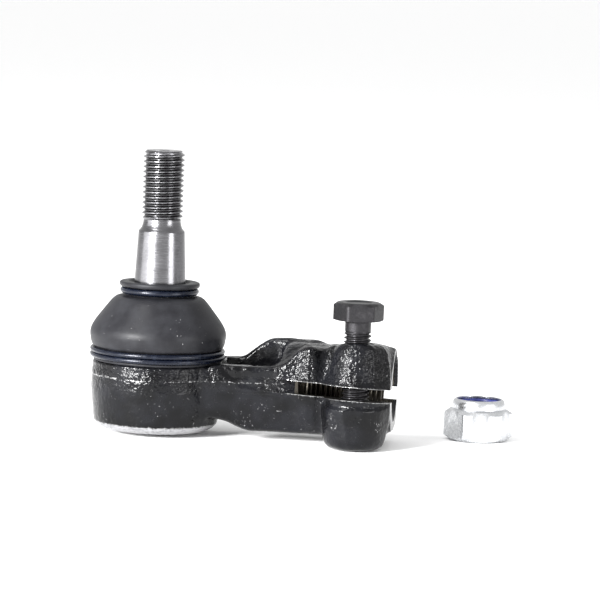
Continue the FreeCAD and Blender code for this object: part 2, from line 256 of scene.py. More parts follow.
def meet(a, b, ease):
    """What two shapes share, with a rounded edge."""
    return -join(-a, -b, ease)


def curve(x, *knots):
    """A smooth curve through (x, value) knots."""
    xs, values = np.array(knots, float).T
    i = np.clip(np.searchsorted(xs, x) - 1, 0, len(xs) - 2)
    t = np.clip((x - xs[i]) / (xs[i + 1] - xs[i]), 0, 1)
    slopes = np.gradient(values, xs)
    span = xs[i + 1] - xs[i]
    return ((2 * t ** 3 - 3 * t ** 2 + 1) * values[i] + (t ** 3 - 2 * t ** 2 + t) * span * slopes[i]
            + (3 * t ** 2 - 2 * t ** 3) * values[i + 1] + (t ** 3 - t ** 2) * span * slopes[i + 1])


def polygon_distance(u, v, corners):
    """Signed distance in a plane to a closed polygon, negative inside."""
    corners = np.array(corners, float)
    nearest = np.full(np.broadcast(u, v).shape, np.inf)
    inside = np.zeros(nearest.shape, bool)
    for a, b in zip(corners, np.roll(corners, -1, 0)):
        edge = b - a
        t = np.clip(((u - a[0]) * edge[0] + (v - a[1]) * edge[1]) / (edge @ edge), 0, 1)
        nearest = np.minimum(nearest, (u - a[0] - t * edge[0]) ** 2 + (v - a[1] - t * edge[1]) ** 2)
        crosses = (a[1] > v) != (b[1] > v)
        rise = edge[1] if abs(edge[1]) > TINY else TINY
        inside ^= crosses & (u < a[0] + (v - a[1]) * edge[0] / rise)
    return np.where(inside, -1, 1) * np.sqrt(nearest)


VOXEL = 0.42
MARGIN = 3 * VOXEL
FLASH_Z = PARTING_Z + 0.35

# The forging's shapes. The socket is an outline turned about Z: (radius, height).
SOCKET_OUTLINE = [
    (-30, 12.3), (15.9, 12.3), (16.1, 12.1), (16.1, 7.4), (18.6, 7.4), (18.85, 7.1), (18.95, 5.6),
    (19.2, 4.4), (19.25, -0.7), (18.4, -8.8), (18.15, -10.3), (17.0, -11.5), (15.6, -12.25),
    (14.8, -12.4), (-30, -12.4)]
# Profiles run along the arm: (x, height or half width).
ARM_HALF_WIDTH = [(10, 12.6), (18, 12.2), (27, 11.4), (45, 11.6), (71, 11.6)]
ARM_BOTTOM = [
    (10, -8.0), (20, -8.0), (23.4, -9.0), (25, -9.8), (27, -10.6), (28.6, -11.0), (33, -11.0), (48, -11.0),
    (58, -11.0), (71, -8.6)]
ARM_FLOOR = [(10, 6.9), (20, 6.9), (23, 4.5), (26, 2.6), (34, 2.4), (38, 6.0), (42, 9.0), (71, 9.0)]
NEAR_WALL_TOP = [
    (16, 7.6), (20, 8.25), (23, 8.5), (29, 8.45), (33, 8.55), (36.2, 8.9), (38.2, 9.5), (39.8, 10.7),
    (41.6, 12.6), (43.2, 13.9), (45, 14.5), (47, 14.8), (50, 14.6), (60, 14.6)]
FAR_WALL_TOP = [
    (18, 8.8), (20.5, 9.0), (25.3, 9.75), (27.3, 11.2), (29.7, 13.1), (32.2, 14.6), (34.6, 15.3),
    (37.6, 15.4), (43.5, 15.2), (47, 15.1), (49.3, 14.3), (60, 13.8)]
EAR_TOP = [(38, 13.6), (42, 14.1), (46, 14.7), (50, 14.9), (52.5, 16.0), (55.5, 17.0), (66, 17.1), (71, 16.1)]
EAR_BOTTOM = [(40, -6.6), (48, -8.0), (56, -9.0), (71, -8.0)]
# Plans, seen from above: (x, y).
MOUTH_CORNER = [(56, 0), (56, -16), (61.5, -21.6), (66, -20.4), (70.4, -15.2), (70.8, 0)]
SHOULDER = [
    (42.4, 0), (42.1, -8), (43.4, -11.4), (45.8, -12.9), (48, -12.9), (50.5, -11.6), (56, -11.6), (56, 0)]
# A wall: the Y of its middle, its half thickness, its lean and taper per millimetre of height, its top,
# how round its top edge is, and where it starts and stops along X.
NEAR_WALL = (-8.3, 3.2, -0.14, 0.14, NEAR_WALL_TOP, 1.5, 15, 48)
FAR_WALL = (7.6, 3.5, -0.1, 0.13, FAR_WALL_TOP, 1.6, 17, 50)
WALL_FOOT_Z = 1.0
ARM_START = 12
BODY_R, BODY_START = 11.6, 37.5
BOSS_R = 8.95
FOOT_R, FOOT_DROP = 9.25, 5.0
BOOT_ROOM_R, BOOT_ROOM_Z = 20.6, 7.2
# Draft: how much a side leans in for each millimetre above or below the parting plane.
ARM_DRAFT_UP, ARM_DRAFT_DOWN = 0.2, 0.15
EAR_DRAFT_UP, EAR_DRAFT_DOWN = 0.175, 0.17
FOOT_DRAFT = 0.012


def forging_field():
    """The forging's distance field before anything is machined: (field, low corner)."""
    low = HOUSING_LOW - MARGIN
    counts = np.ceil((HOUSING_HIGH + MARGIN - low) / VOXEL).astype(int) + 1
    x, y, z = (low[k] + VOXEL * np.arange(counts[k]) for k in range(3))
    x2, y2 = x[:, None], y[None, :]
    x3, y3, z3 = x[:, None, None], y[None, :, None], z[None, None, :]
    above = np.maximum(z3 - PARTING_Z, 0)
    below = np.maximum(PARTING_Z - z3, 0)

    # the socket
    reach = np.hypot(x2, y2)
    ring_step, corner_r = 0.1, 0.15
    radii = np.arange(0, reach.max() + 2 * ring_step, ring_step)
    flat = polygon_distance(radii[:, None], z[None, :], SOCKET_OUTLINE) - corner_r
    socket = np.stack([np.interp(reach, radii, flat[:, k]) for k in range(len(z))], axis=2)

    # the arm's solid part, with a ledge above the flash line
    ledge_out, ledge_height, ledge_start, ledge_run = 0.26, 0.2, 18, 6
    ledge = ledge_out * (np.tanh((z3 - FLASH_Z) / ledge_height) * 0.5 + 0.5)
    ledge = ledge * np.clip((x3 - ledge_start) / ledge_run, 0, 1)
    side = np.abs(y3) - (curve(x3, *ARM_HALF_WIDTH) - ARM_DRAFT_DOWN * below - ARM_DRAFT_UP * above)
    arm = meet(side - ledge, curve(x3, *ARM_BOTTOM) - z3, ease=2.4)
    arm = meet(arm, z3 - curve(x3, *ARM_FLOOR), ease=1.2)
    arm = meet(np.maximum(arm, x3 - END_X), ARM_START - x3, ease=2)

    # its low near wall, which has the ledge too, and its high far wall
    walls = []
    for shape, out in ((NEAR_WALL, ledge), (FAR_WALL, 0)):
        middle, half, lean, taper, tops, top_ease, start, stop = shape
        wall = np.abs(y3 - middle - lean * above) - (half - taper * above) - out
        wall = meet(wall, z3 - curve(x3, *tops), top_ease)
        wall = meet(np.maximum(wall, WALL_FOOT_Z - z3), x3 - stop, ease=2)
        walls.append(meet(wall, start - x3, ease=2))

    # the round body of the clamp
    round_body = np.hypot(y3, z3 - PARTING_Z) - BODY_R
    round_body = meet(meet(round_body, BODY_START - x3, ease=3.5), x3 - END_X, ease=1.0)

    # the ear: a low shoulder and the bolt's boss, square at the mouth, with a round foot under the bolt
    corner_round, shoulder_round, overlap = 0.8, 0.9, 1.0
    boss = np.hypot(x2 - BOLT_X, y2 - BOLT_Y) - BOSS_R
    boss = join(boss, polygon_distance(x2, y2, MOUTH_CORNER) - corner_round, ease=1.5)
    plan = join(boss, polygon_distance(x2, y2, SHOULDER) - shoulder_round, ease=1.8)[:, :, None]
    fall, fall_start, fall_run = 0.085, 48, 6
    ear_top = curve(x3, *EAR_TOP) - fall * (y3 - BOLT_Y) * np.clip((x3 - fall_start) / fall_run, 0, 1)
    upper = meet(plan + EAR_DRAFT_UP * above, z3 - ear_top, ease=2.6)
    upper = meet(np.maximum(upper, -overlap - (z3 - PARTING_Z)), x3 - END_X, ease=0.6)
    lower = meet(plan + EAR_DRAFT_DOWN * below, curve(x3, *EAR_BOTTOM) - z3, ease=3.0)
    lower = meet(np.maximum(lower, (z3 - PARTING_Z) - overlap), x3 - END_X, ease=0.6)
    foot = np.hypot(x3 - BOLT_X, y3 - BOLT_Y) - (FOOT_R - FOOT_DRAFT * below)
    foot = np.maximum(meet(foot, FLOOR_Z - z3, ease=3.8), z3 - PARTING_Z + FOOT_DROP)

    # all of them run together, each with its own fillet, and room is left for the boot
    field = arm
    for shape, fillet in ((walls[0], 1.6), (walls[1], 2.4), (round_body, 2.6), (upper, 1.8), (lower, 3.2),
                          (foot, 2.8)):
        field = join(field, shape, fillet)
    field = np.maximum(field, np.minimum(BOOT_ROOM_R - reach[:, :, None], z3 - BOOT_ROOM_Z))
    return join(field, socket, ease=1.3), low


def forging_blank():
    """The forging's skin as a mesh."""
    field, low = forging_field()
    grid = openvdb.FloatGrid()
    grid.copyFromArray(np.ascontiguousarray(field.astype(np.float32)))
    points, quads = grid.convertToQuads(isovalue=0.0)
    points = points * VOXEL + low
    return outward(new_mesh("housing_forging", points, quads))


def roughen(piece, seed):
    """Moves the forging's skin in and out a little, less where it was turned, inside the CAD box."""
    mesh = piece.data
    count = len(mesh.vertices)
    points = np.zeros(count * 3)
    normals = np.zeros(count * 3)
    mesh.vertices.foreach_get("co", points)
    mesh.vertex_normals.foreach_get("vector", normals)
    points = points.reshape(-1, 3) / MM
    normals = normals.reshape(-1, 3)
    x, y, z = points.T
    lumps = ((5.0, 0.09), (1.9, 0.085), (1.0, 0.045))
    amount = sum(height * value_noise(points, cell, seed + k) for k, (cell, height) in enumerate(lumps))
    # rougher high up than low down
    level, rise, least, most = 0.75, 0.1, 0.5, 1.25
    amount *= np.clip(level + rise * z, least, most)
    turned_r, turned_above, turned_below = 19.6, 5.0, -10.2
    machined = (np.hypot(x, y) < turned_r) & ((z > turned_above) | (z < turned_below))
    smoother, inset, clear = 0.1, 0.05, 0.01
    amount = np.where(machined, smoother * amount, amount) - inset
    points += normals * amount[:, None]
    points = np.clip(points, HOUSING_LOW + clear, HOUSING_HIGH - [0.0, clear, clear])
    mesh.vertices.foreach_set("co", (points * MM).ravel())
    mesh.update()


def cut(piece, cutter):
    """Takes the cutter's shape out of a piece."""
    step = piece.modifiers.new("cut", "BOOLEAN")
    step.operation = "DIFFERENCE"
    step.solver = "MANIFOLD"
    step.object = cutter
    graph = bpy.context.evaluated_depsgraph_get()
    result = bpy.data.meshes.new_from_object(piece.evaluated_get(graph))
    piece.modifiers.clear()
    old = piece.data
    piece.data = result
    bpy.data.meshes.remove(old)
    bpy.data.objects.remove(cutter)


BORE_MINOR = ROD_DIMS["r_mm"]
BORE_MAJOR = BORE_MINOR + 0.8
BORE_START = ROD[0] - ROD_DIMS["length_mm"] / 2
BORE_STOP = ROD[0] + ROD_DIMS["length_mm"] / 2
DRILL_POINT = 3.6
COUNTERBORE_R = 9.3
ROD_PITCH = 1.5
SLOT_HALF = 1.9
SLOT_PIVOT = Vector((60.2, -16.0, 2.75))
# How far the saw's plane falls along the arm and tilts across it, in degrees.
SLOT_FALL, SLOT_TILT = 2.2, 4.8
SLOT_TURN = (Matrix.Rotation(math.radians(SLOT_FALL), 4, "Y")
             @ Matrix.Rotation(math.radians(-SLOT_TILT), 4, "X"))
# The saw's disc comes in from the near side, and its notch in the far wall starts at NOTCH_X.
SAW_R = 60.0
SAW_X, SAW_Y = 60.5, -65.0
NOTCH_X = 66.8


def bore_cutter():
    """The rod's threaded hole, its drill point, and the chamfered counterbore at the mouth."""
    bevel, past_end, fade_length = 1.0, 1.1, 3.0
    outline = rounded([
        (0, BORE_START - DRILL_POINT), (BORE_MINOR, BORE_START), (BORE_MINOR, BORE_STOP),
        (COUNTERBORE_R, BORE_STOP + 0.3), (COUNTERBORE_R, END_X - bevel),
        (COUNTERBORE_R + bevel + past_end, END_X + past_end), (0, END_X + past_end)])
    outline = np.vstack([outline[:2], spaced(outline[1:3], ROD_PITCH / 10)[1:], outline[3:]])

    def radius_at(r, x, angles):
        if abs(r - BORE_MINOR) > TINY:
            return np.full(len(angles), r)
        fade = np.clip((x - BORE_START) / fade_length, 0, 1)
        return r + (BORE_MAJOR - BORE_MINOR) * fade * (1 - thread_shape(angles, x, ROD_PITCH))
    return outward(turned("bore_cutter", outline, around=112, radius_at=radius_at,
                          centre=(0, 0, PARTING_Z), along="X"))


def tilt_saw(piece):
    """Leans a cutter as the saw's plane leans."""
    pivot = Matrix.Translation(SLOT_PIVOT * MM)
    piece.data.transform(pivot @ SLOT_TURN @ pivot.inverted())
    return piece


def above_saw(points):
    """Height of points, in millimetres, above the saw's middle plane."""
    normal = np.array(SLOT_TURN.to_3x3() @ Vector((0, 0, 1)))
    return (points - np.array(SLOT_PIVOT)) @ normal


def slot_cutter():
    """The saw's disc."""
    outline = [(0, -SLOT_HALF), (SAW_R, -SLOT_HALF), (SAW_R, SLOT_HALF), (0, SLOT_HALF)]
    disc = turned("slot_cutter", outline, around=720, centre=(SAW_X, SAW_Y, SLOT_PIVOT.z))
    return tilt_saw(outward(disc))


def notch_cutter():
    """The short notch that the saw leaves in the far wall's mouth."""
    past_wall = 15
    corners = [(x, y, z) for x in (NOTCH_X, END_X + 1) for y in (0, past_wall)
               for z in (-SLOT_HALF, SLOT_HALF)]
    faces = [(0, 1, 3, 2), (4, 6, 7, 5), (0, 4, 5, 1), (2, 3, 7, 6), (0, 2, 6, 4), (1, 5, 7, 3)]
    points = np.array(corners) + [0, 0, SLOT_PIVOT.z]
    return tilt_saw(outward(new_mesh("notch_cutter", points, faces, smooth=False)))


def bolt_hole_cutter():
    """The clamp bolt's hole: clear in the upper ear, close to the thread in the lower one."""
    low_r, clear_r, flare_z, flare = 4.05, 4.3, 16.4, 2.0
    outline = [
        (0, -30), (low_r, -30), (low_r, PARTING_Z), (clear_r, PARTING_Z), (clear_r, flare_z),
        (clear_r + flare, flare_z + flare), (0, flare_z + flare)]
    return outward(turned("bolt_cutter", outline, around=96, centre=(BOLT_X, BOLT_Y, 0)))


def cavity_cutter():
    """The hole through the socket for the seats, the spring and the cap."""
    outline = [
        (0, -20), (12.0, -20), (12.0, -11.5), (14.2, -11.5), (14.2, 3.4), (10.9, 5.6), (10.4, 5.6),
        (14.3, 12.5), (15.5, 14.0), (0, 14.0)]
    return outward(turned("cavity_cutter", outline, around=160))


def make_housing():
    """The finished forging: rough skin, crisp machined cuts."""
    piece = forging_blank()
    roughen(piece, seed=41)
    for cutter in (cavity_cutter(), bore_cutter(), slot_cutter(), notch_cutter(), bolt_hole_cutter()):
        cut(piece, cutter)
    shade(piece, sharp_angle=34)
    return piece


# ---- turned and threaded pieces ---------------------------------------------------------------
STUD_PITCH = 1.5
STUD_THREAD_LOW = THREAD[2] - THREAD_DIMS["length_mm"] / 2
STUD_THREAD_R = THREAD_DIMS["r_mm"]
STUD_THREAD_DEPTH = 0.72
BOLT_PITCH = 1.25
BOLT_THREAD_R = 4.0
BOLT_NECK_R = 3.78
BOLT_HEAD_HEIGHT = 5.3
BOLT_ACROSS_FLATS, BOLT_TURN = 13.0, 10.6
NUT_PITCH = 1.5
NUT_MINOR_R = 5.2
NUT_HEX_TOP, NUT_TOP = 9.2, 12.2
NUT_ACROSS_FLATS, NUT_TURN = 18.0, 8.0


def make_stud():
    """The ball, the waist, the taper, the neck, and the thread, with a centre hole in its tip."""
    ball_r, neck_r = 11.0, 5.5
    flat = -7.6
    flat_r = math.sqrt(ball_r ** 2 - flat ** 2)
    low_angle = math.asin(flat / ball_r)
    high_angle = math.acos(neck_r / ball_r)
    ball = [(ball_r * math.cos(a), ball_r * math.sin(a)) for a in np.linspace(low_angle, high_angle, 40)]
    top = STUD_TIP
    lower = rounded([(0, flat), (flat_r - 0.3, flat)] + ball + [
        (neck_r, 15.0, 2.0), (7.66, 21.5, 1.5), (7.66, 28.8, 0.3), (6.8, 45.6, 0.5), (6.68, 45.95, 0.25),
        (6.1, 46.5, 0.5), (5.75, 47.3, 0.8), (5.55, 48.2, 0.4), (neck_r, STUD_THREAD_LOW - 0.4)])
    ends = np.array([(STUD_THREAD_R, STUD_THREAD_LOW), (STUD_THREAD_R, top - 0.05)])
    tip = rounded([(5.15, top, 0.15), (1.7, top, 0.15), (1.45, top - 0.3), (0.1, top - 2.4), (0, top - 2.5)])
    outline = np.vstack([lower, spaced(ends, STUD_PITCH / 14), tip])
    run_out, chamfer_r, chamfer_slope = 1.2, 5.1, 0.95

    def radius_at(r, z, angles):
        if abs(r - STUD_THREAD_R) > TINY or z < STUD_THREAD_LOW - TINY:
            return np.full(len(angles), r)
        rise = np.clip((z - STUD_THREAD_LOW) / run_out, 0, 1)
        crest = STUD_THREAD_R - STUD_THREAD_DEPTH * thread_shape(angles, z, STUD_PITCH)
        crest = crest * rise + neck_r * (1 - rise)
        return np.minimum(crest, chamfer_r + (top - z) * chamfer_slope)
    return outward(turned("ball_stud_turned", outline, around=176, radius_at=radius_at))


def make_boot():
    """The rubber boot: a rolled foot under the ring, a full bulge, a cone and a lip round the stud."""
    outline = rounded([
        (16.4, 9.5), (16.4, 7.6, 0.2), (18.85, 7.6, 0.35), (18.95, 8.3, 0.3), (18.3, 8.45, 0.2),
        (18.3, 11.35, 0.5), (19.2, 11.75, 0.5), (19.75, 12.9, 0.8), (20.12, 15.3, 1.6), (19.9, 16.9, 1.0),
        (18.75, 19.1, 1.2), (17.0, 21.4, 1.2), (15.2, 23.75, 1.2), (13.7, 25.6, 0.9), (12.5, 26.5, 0.7),
        (9.75, 26.85, 0.5), (9.7, 29.3, 0.35), (11.5, 29.35, 0.35), (11.82, 29.9, 0.4), (11.78, 30.7, 0.4),
        (11.2, 30.95, 0.4), (9.2, 30.95, 0.35), (8.5, 30.2, 0.3), (7.75, 30.1, 0.2), (7.75, 26.2, 0.3),
        (10.6, 25.6, 0.6), (13.2, 23.2, 0.8), (16.8, 18.6, 0.8), (18.1, 16.0, 0.8), (18.0, 14.0, 0.8),
        (17.2, 12.9, 0.4), (16.4, 12.7, 0.2), (16.4, 9.6)], steps=6)
    bulge_from, mould_z, mould_half, mould_out, sag = 18.5, 15.4, 0.16, 0.03, 0.015

    def radius_at(r, z, angles):
        if r < bulge_from:
            return np.full(len(angles), r)
        return r + mould_out * np.exp(-((z - mould_z) / mould_half) ** 2) + sag * np.sin(3 * angles + 1)
    outline = spaced(outline, longest=0.45)
    return outward(turned("boot_rubber", outline, around=168, radius_at=radius_at, closed=True))


def make_lower_ring():
    """Spring wire wound twice round the boot's foot."""
    ring_r, ring_z, wire_r = 19.2, 9.9, 0.75
    turns, start, count = 2.04, math.radians(70), 400
    t = np.linspace(0, 1, count)
    angles = np.linspace(0, turns * TAU, count) + start
    step, step_from, step_run = 2 * wire_r, 0.8, 0.5
    height = ring_z - step / 2 + step * np.clip((t * turns - step_from) / step_run, 0, 1)
    path = np.column_stack([ring_r * np.cos(angles), ring_r * np.sin(angles), height])
    return outward(wire("lower_ring_wire", path, wire_r))


def make_upper_ring():
    """A snap ring round the boot's neck, with a narrow gap at the back."""
    ring_r, ring_z, wire_r = 10.68, 28.2, 0.92
    start, span, count = 112, 356, 240
    angles = np.linspace(math.radians(start), math.radians(start + span), count)
    path = np.column_stack([ring_r * np.cos(angles), ring_r * np.sin(angles), np.full(count, ring_z)])
    return outward(wire("upper_ring_wire", path, wire_r, around=18))


def hexagon(angles, across_flats, turn):
    """Radius of a hexagon with slightly soft corners."""
    ease, squash = 0.25, 0.45
    local = (angles - math.radians(turn)) % (TAU / 6) - TAU / 12
    r = across_flats / 2 / np.cos(local)
    corner = across_flats / math.sqrt(3) - ease
    return np.where(r > corner, corner + (r - corner) * squash, r)


def make_bolt():
    """The clamp bolt: chamfered head with a shallow dish, plain shank and thread."""
    top, tip = BOLT_HIGH[2], BOLT_LOW[2]
    seat = top - BOLT_HEAD_HEIGHT
    corner_r, shank_length, close = 7.51, 3.0, 0.01
    thread_top = seat - shank_length
    head = rounded([
        (0, top - 0.38), (3.5, top - 0.38, 0.3), (3.95, top - 0.05, 0.12), (4.4, top, 0.1), (5.9, top, 0.3),
        (6.5, top - 0.28), (corner_r, top - 0.85), (corner_r, top - 2.2), (corner_r, seat + 0.5),
        (7.3, seat + 0.12), (6.6, seat, 0.1), (4.3, seat, 0.15), (3.8, seat - 0.45, 0.25),
        (BOLT_NECK_R, thread_top)])
    ends = np.array([(BOLT_THREAD_R, thread_top - 0.08), (BOLT_THREAD_R, tip + 0.02)])
    end = rounded([(2.9, tip, 0.1), (0, tip)])
    crest_r, depth, run_out, chamfer_r = 3.97, 0.7, 1.0, 2.85

    def radius_at(r, z, angles):
        if z > seat + close:
            return np.minimum(r, hexagon(angles, BOLT_ACROSS_FLATS, BOLT_TURN))
        if abs(r - BOLT_THREAD_R) > TINY:
            return np.full(len(angles), r)
        rise = np.clip((thread_top - z) / run_out, 0, 1)
        crest = crest_r - depth * thread_shape(angles, z, BOLT_PITCH)
        crest = crest * rise + BOLT_NECK_R * (1 - rise)
        return np.minimum(crest, chamfer_r + z - tip)
    outline = np.vstack([head, spaced(ends, BOLT_PITCH / 12), end])
    return outward(turned("clamp_bolt_screw", outline, around=180, radius_at=radius_at,
                          centre=(BOLT_X, BOLT_Y, 0), sharp_angle=26))


def make_nut():
    """The lock nut: hexagon, thread and the collar that is rolled over the nylon ring."""
    hex_top, top = NUT_HEX_TOP, NUT_TOP
    corner_r = 10.4
    outside = rounded([
        (6.9, 0.0, 0.1), (8.3, 0.0, 0.2), (8.9, 0.3), (corner_r, 1.1), (corner_r, 4.0),
        (corner_r, hex_top - 1.1), (8.9, hex_top - 0.3), (8.4, hex_top, 0.2), (7.95, hex_top + 0.15, 0.15),
        (7.9, top - 1.4, 0.6), (7.5, top - 0.35, 0.5), (6.9, top, 0.35), (6.55, top - 0.1, 0.2),
        (6.6, top - 0.8, 0.1), (6.95, top - 1.0), (6.95, hex_top - 0.8), (5.3, hex_top - 1.0)])
    inside = spaced(np.array([(NUT_MINOR_R, hex_top - 1.05), (NUT_MINOR_R, 1.2)]), NUT_PITCH / 12)
    mouth = np.array([(5.6, 0.95), (6.7, 0.1)])
    collar_r, depth = 8.0, 0.8

    def radius_at(r, z, angles):
        if r > collar_r and z <= hex_top:
            return np.minimum(r, hexagon(angles, NUT_ACROSS_FLATS, NUT_TURN))
        if abs(r - NUT_MINOR_R) > TINY:
            return np.full(len(angles), r)
        return NUT_MINOR_R + depth * (1 - thread_shape(angles, z, NUT_PITCH))
    outline = np.vstack([outside, inside, mouth])
    return outward(turned("lock_nut_hexagon", outline, around=168, radius_at=radius_at, closed=True,
                          centre=(NUT_X, NUT_Y, NUT_LOW[2]), sharp_angle=26))


def make_insert():
    """The nylon ring in the nut's collar."""
    outline = rounded([
        (5.7, 9.4), (5.7, 8.45, 0.1), (6.9, 8.45, 0.1), (6.9, 11.0, 0.2), (6.45, 11.35, 0.3),
        (6.0, 11.3, 0.3), (5.7, 10.9, 0.3), (5.7, 9.5)])
    return outward(turned("nylon_ring", outline, around=96, closed=True,
                          centre=(NUT_X, NUT_Y, NUT_LOW[2])))


def make_cap():
    """The pressed cap, dished in the middle, inside the rolled lip."""
    outline = rounded([
        (0, -10.8), (7.6, -10.8, 0.5), (9.4, -9.9, 0.6), (14.15, -9.9, 0.1), (14.15, -11.5, 0.1),
        (10.6, -11.5, 0.5), (8.8, -12.25, 0.6), (2.0, -12.28), (0, -12.28)])
    return outward(turned("end_cap_pressed", spaced(outline, longest=0.8), around=120))


# ---- materials --------------------------------------------------------------------------------
class Shader:
    """A small helper round one material's node tree."""

    def __init__(self, name):
        self.material = bpy.data.materials.new(name)
        self.material.use_nodes = True
        self.tree = self.material.node_tree
        self.main = self.tree.nodes["Principled BSDF"]
        coords = self.tree.nodes.new("ShaderNodeTexCoord")
        self.place = coords.outputs["Object"]

    def node(self, kind, **inputs):
        """A new node with its inputs set or linked."""
        made = self.tree.nodes.new(kind)
        for key, value in inputs.items():
            self.put(made.inputs[key.replace("_", " ")], value)
        return made

    def put(self, socket, value):
        """Links an output to a socket, or sets the socket's own value."""
        if isinstance(value, bpy.types.NodeSocket):
            self.tree.links.new(value, socket)
        else:
            socket.default_value = value

    def set(self, **inputs):
        """Sets or links the surface's own inputs."""
        for key, value in inputs.items():
            self.put(self.main.inputs[key.replace("_", " ")], value)

    def noise(self, size_mm, detail=4.0, rough=0.55, stretch=None, seed=0.0):
        """Noise whose lumps are about size_mm across. A seed moves it to another part of the pattern."""
        place = self.place
        if stretch or seed:
            place = self.node("ShaderNodeMapping", Vector=place, Location=(seed, seed * 1.7, seed * 0.6),
                              Scale=stretch or (1, 1, 1)).outputs[0]
        return self.node("ShaderNodeTexNoise", Vector=place, Scale=1 / (size_mm * MM), Detail=detail,
                         Roughness=rough).outputs[0]

    def ramp(self, value, low, high, out_low=0.0, out_high=1.0):
        """Eases from out_low to out_high while the value goes from low to high."""
        made = self.node("ShaderNodeMapRange", Value=value, From_Min=low, From_Max=high, To_Min=out_low,
                         To_Max=out_high)
        made.clamp = True
        made.interpolation_type = "SMOOTHSTEP"
        return made.outputs[0]

    def math(self, kind, a, b=0.0):
        """A sum, a product or the like of one or two values."""
        made = self.tree.nodes.new("ShaderNodeMath")
        made.operation = kind
        self.put(made.inputs[0], a)
        self.put(made.inputs[1], b)
        return made.outputs[0]

    def times(self, a, b):
        """The product of two values."""
        return self.math("MULTIPLY", a, b)

    def mix(self, share, a, b):
        """Colour a, turning to colour b as the share goes from 0 to 1."""
        made = self.tree.nodes.new("ShaderNodeMix")
        made.data_type = "RGBA"
        # the node's colour sockets are its inputs 6 and 7 and its output 2
        self.put(made.inputs[0], share)
        self.put(made.inputs[6], a if isinstance(a, bpy.types.NodeSocket) else (*a, 1))
        self.put(made.inputs[7], b if isinstance(b, bpy.types.NodeSocket) else (*b, 1))
        return made.outputs[2]

    def axis(self, name):
        """A point's place along X, Y or Z, in metres."""
        split = self.node("ShaderNodeSeparateXYZ", Vector=self.place)
        return split.outputs[name]

    def bump(self, height, strength, distance_mm, under=None):
        """A bumped normal, over another one if it is given."""
        made = self.node("ShaderNodeBump", Height=height, Strength=strength, Distance=distance_mm * MM)
        if under is not None:
            self.put(made.inputs["Normal"], under)
        return made.outputs[0]


def forging_paint():
    """Glossy black paint over a rough forged skin, rubbed and chipped to bright steel here and there."""
    s = Shader("forging_paint")
    grain = s.noise(0.42, detail=3, rough=0.6)
    lumps = s.noise(1.15, detail=2.0, rough=0.5, seed=0.2)
    patch = s.noise(9.0, detail=2, seed=0.4)
    broken = s.noise(0.8, detail=5, rough=0.75, seed=0.7)
    wear = s.node("ShaderNodeAttribute")
    wear.attribute_name = "wear"
    rubbed = s.ramp(s.math("ADD", broken, s.times(wear.outputs["Fac"], 0.3)), 0.66, 0.74)
    chips = s.times(s.ramp(broken, 0.645, 0.685), s.ramp(s.noise(7, detail=2, seed=0.9), 0.5, 0.6))
    bare = s.math("MAXIMUM", s.times(rubbed, 0.8), chips)
    dust = s.ramp(s.noise(1.2, detail=5, rough=0.7, seed=1.3), 0.58, 0.8)
    paint = s.mix(s.ramp(patch, 0.35, 0.7), (0.0015, 0.0015, 0.0018), (0.005, 0.0052, 0.0066))
    paint = s.mix(s.times(dust, 0.1), paint, (0.08, 0.075, 0.07))
    s.set(Base_Color=s.mix(bare, paint, (0.3, 0.3, 0.3)), Metallic=bare,
          Roughness=s.ramp(grain, 0.3, 0.75, 0.09, 0.2), IOR=1.45)
    s.set(Specular_IOR_Level=0.18)
    # the skin is roughest above the die line, on the socket and on the clamp, and smoother on the arm
    height, along = s.axis("Z"), s.axis("X")
    upper_half = s.ramp(height, -2 * MM, 3.5 * MM, 0.3, 1.0)
    socket = s.ramp(along, 17 * MM, 23 * MM, 1.0, 0.35)
    clamp = s.ramp(along, 35 * MM, 42 * MM, 0.0, 0.65)
    rough = s.bump(lumps, s.times(upper_half, s.math("ADD", socket, clamp)), 0.45)
    s.set(Normal=s.bump(grain, 0.4, 0.1, rough))
    return s.material


def scraped_steel():
    """The lip: its paint is worn off to bright steel by the rolling tool."""
    s = Shader("scraped_lip")
    streaks = s.noise(1.2, detail=4, rough=0.7, stretch=(1, 1, 5))
    spots = s.ramp(s.noise(0.8, detail=4, rough=0.7, seed=0.5), 0.4, 0.66)
    s.set(Base_Color=s.mix(s.times(spots, 0.75), (0.36, 0.36, 0.37), (0.15, 0.15, 0.155)),
          Metallic=1.0, Roughness=s.ramp(streaks, 0.3, 0.8, 0.48, 0.7))
    s.set(Normal=s.bump(streaks, 0.4, 0.08))
    return s.material


def machined_steel(name, colour, rough_low, rough_high, grooves_mm=0.12, axis="Z", shaded_roots=False):
    """Steel with fine tool lines across its axis and, if wanted, painted shade that darkens the stud's thread
    roots.
    """
    s = Shader(name)
    stretch = {"Z": (0.02, 0.02, 1), "X": (1, 0.02, 0.02)}[axis]
    lines = s.noise(grooves_mm, detail=2, stretch=stretch)
    blotch = s.noise(4.0, detail=4, seed=0.3)
    steel = s.mix(s.ramp(blotch, 0.4, 0.7), colour, tuple(0.8 * c for c in colour))
    if shaded_roots:
        # painted shade: the thread roots are darkened almost to black, but not near the tip's top face
        x, y, z = s.axis("X"), s.axis("Y"), s.axis("Z")
        from_axis = s.math("SQRT", s.math("ADD", s.times(x, x), s.times(y, y)))
        root = s.ramp(from_axis, (STUD_THREAD_R - 0.7) * MM, (STUD_THREAD_R - 0.2) * MM, 1.0, 0.0)
        root = s.times(root, s.ramp(z, STUD_THREAD_LOW * MM, (STUD_THREAD_LOW + 0.5) * MM))
        root = s.times(root, s.ramp(z, (STUD_TIP - 1.8) * MM, (STUD_TIP - 1.2) * MM, 1.0, 0.0))
        steel = s.mix(s.times(root, 0.8), steel, (0.01, 0.01, 0.01))
    s.set(Base_Color=steel, Metallic=1.0, Roughness=s.ramp(lines, 0.3, 0.7, rough_low, rough_high))
    grain = s.bump(s.noise(0.35, detail=2, seed=0.5), 0.3, 0.025)
    s.set(Normal=s.bump(lines, 0.25, 0.02, grain))
    return s.material


